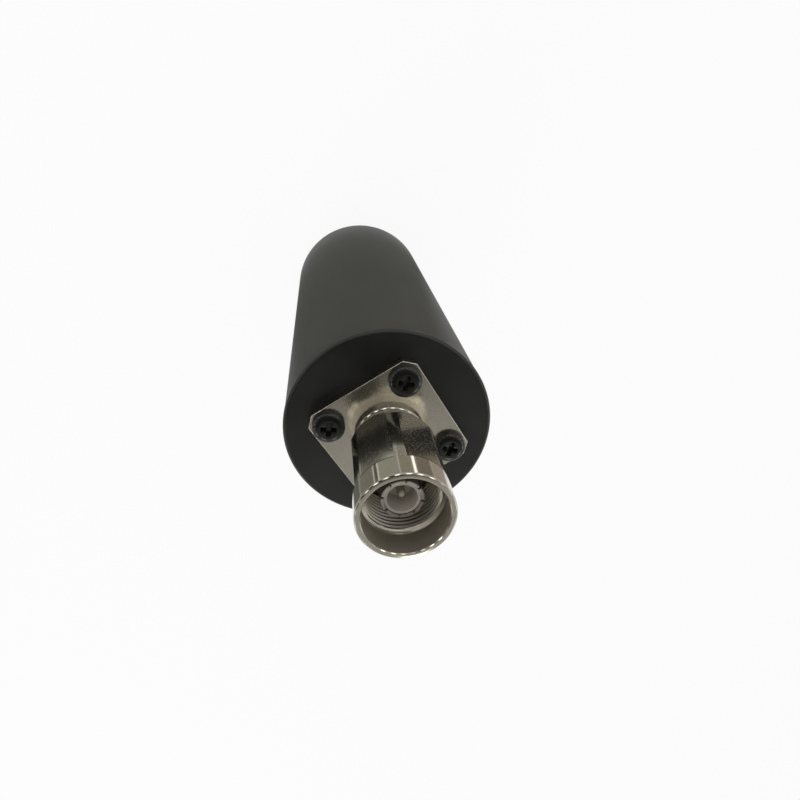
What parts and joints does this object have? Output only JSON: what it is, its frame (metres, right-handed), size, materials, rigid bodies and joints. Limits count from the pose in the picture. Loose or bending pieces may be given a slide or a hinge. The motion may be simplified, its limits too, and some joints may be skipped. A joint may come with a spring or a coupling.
{
  "type": "coaxial termination",
  "caption": "Black cylindrical coaxial load: a plain round heat-sink body with a flange-mounted male connector and a turning coupling nut on its front face.",
  "frame": {"origin": "centre of the flat rear face, on which the part stands", "axes": "+Z along the axis from the closed rear end to the connector's mouth; X and Y through the sides of the square flange"},
  "size_m": [0.0464, 0.0464, 0.147],
  "materials": {
    "shell_black": "matte",
    "cap_black": "matte",
    "bare_aluminium": "satin",
    "plated_copper": "satin",
    "chip_ceramic": "matte",
    "silver_ribbon": "satin",
    "zinc_steel": "satin",
    "nickel_plate": "polished",
    "black_steel": "satin",
    "white_insulator": "satin",
    "pin_plate": "satin",
    "contact_plate": "satin",
    "seal_rubber": "matte",
    "spring_steel": "satin"
  },
  "bodies": {
    "housing": {"body_shell": "shell_black", "end_cap": "cap_black", "heat_spreader": "bare_aluminium", "resistor_flange": "plated_copper", "resistor_substrate": "chip_ceramic", "resistor_lid": "chip_ceramic", "resistor_tab": "silver_ribbon", "resistor_screw_1": "zinc_steel", "resistor_screw_2": "zinc_steel", "connector_body": "nickel_plate", "flange_screw_1": "black_steel", "flange_screw_2": "black_steel", "flange_screw_3": "black_steel", "flange_screw_4": "black_steel", "rear_insulator": "white_insulator", "centre_contact": "pin_plate", "front_insulator": "white_insulator", "outer_contact": "contact_plate", "interface_gasket": "seal_rubber", "retaining_ring": "spring_steel"},
    "coupling": {"coupling_nut": "nickel_plate"}
  },
  "joints": [
    {"name": "coupling_turn", "type": "hinge", "parent": "housing", "child": "coupling", "pos_m": [0, 0, 0.121], "axis": [0, 0, 1], "continuous": true}
  ]
}
